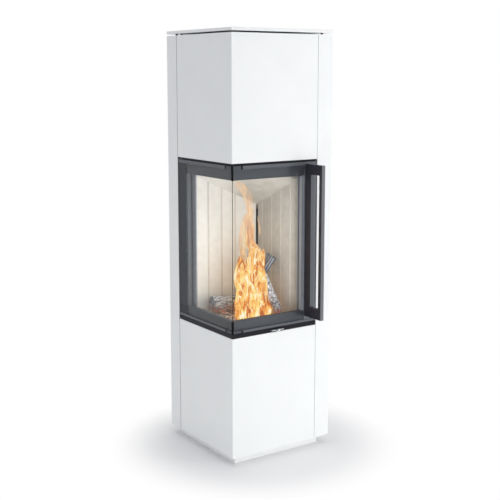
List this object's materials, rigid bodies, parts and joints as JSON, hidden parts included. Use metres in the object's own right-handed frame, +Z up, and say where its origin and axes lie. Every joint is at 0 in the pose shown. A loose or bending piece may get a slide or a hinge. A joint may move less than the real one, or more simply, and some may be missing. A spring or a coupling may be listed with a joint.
{
  "type": "tiled stove",
  "caption": "Tall free-standing wood stove in white tiles, with a corner-glazed door that swings on the left, a loop handle and a sliding air lever.",
  "frame": {"origin": "bottom centre of the bounding box, which the handle widens to the front, on the floor", "axes": "+Z up, the front with the handle faces -Y, the glazed side and the hinges face -X"},
  "size_m": [0.43, 0.522, 1.53],
  "materials": {
    "white_glaze": "smooth gloss glaze",
    "white_paint": "satin stove paint",
    "black_paint": "satin black stove paint",
    "door_paint": "anthracite satin stove paint",
    "strip_paint": "grey satin stove paint",
    "jamb_paint": "grey satin stove paint",
    "sheet_steel": "zinc-grey sheet",
    "polished_steel": "polished",
    "fireclay": "matt pale fireclay",
    "rope": "braided fibreglass rope",
    "charred_log": "charred wood with ash",
    "rubber_pad": "matt",
    "clear_glass": "clear heat-resisting glass ceramic"
  },
  "bodies": {
    "stove_body": {"levelling_foot_1": "sheet_steel", "levelling_foot_2": "sheet_steel", "levelling_foot_3": "sheet_steel", "levelling_foot_4": "sheet_steel", "plinth": "white_paint", "base_plate": "white_paint", "lower_corner_panel": "white_glaze", "upper_corner_panel": "white_glaze", "right_casing": "white_glaze", "rear_casing": "white_glaze", "top_plate": "white_glaze", "top_spacer_1": "rubber_pad", "top_spacer_2": "rubber_pad", "top_spacer_3": "rubber_pad", "top_spacer_4": "rubber_pad", "post_front_left_lower": "sheet_steel", "post_front_right_lower": "sheet_steel", "post_rear_left_lower": "sheet_steel", "post_rear_right_lower": "sheet_steel", "post_front_right_upper": "sheet_steel", "post_rear_left_upper": "sheet_steel", "base_shelf": "black_paint", "firebox_top": "black_paint", "right_wall": "black_paint", "rear_wall": "black_paint", "right_jamb": "jamb_paint", "left_jamb": "jamb_paint", "sill_frame": "jamb_paint", "head_frame": "jamb_paint", "hearth_floor": "fireclay", "rear_lining": "fireclay", "right_lining": "fireclay", "baffle": "fireclay", "flue_pipe": "sheet_steel", "flue_collar": "black_paint", "air_box": "sheet_steel", "air_inlet_pipe": "sheet_steel", "hinge_pin_lower": "sheet_steel", "hinge_pin_upper": "sheet_steel", "catch_bracket": "sheet_steel", "catch_roller": "polished_steel", "log_rear": "charred_log", "log_front": "charred_log", "log_leaning": "charred_log"},
    "door": {"door_frame": "door_paint", "front_glass": "clear_glass", "side_glass": "clear_glass", "door_gasket": "rope", "strip_bottom_front": "strip_paint", "strip_bottom_side": "strip_paint", "strip_top_front": "strip_paint", "strip_top_side": "strip_paint", "corner_clip_lower": "door_paint", "corner_clip_upper": "door_paint", "door_handle": "black_paint", "handle_screw_lower": "sheet_steel", "handle_screw_upper": "sheet_steel", "door_strike": "sheet_steel"},
    "air_control": {"air_slide": "sheet_steel", "air_lever": "polished_steel"}
  },
  "joints": [
    {"name": "door_swing", "type": "hinge", "parent": "stove_body", "child": "door", "pos_m": [-0.205, 0.181, 0.777], "axis": [0, 0, -1], "range_deg": [0, 90]},
    {"name": "air_lever_slide", "type": "slide", "parent": "stove_body", "child": "air_control", "axis": [1, 0, 0], "range_m": [-0.02, 0.02]}
  ]
}
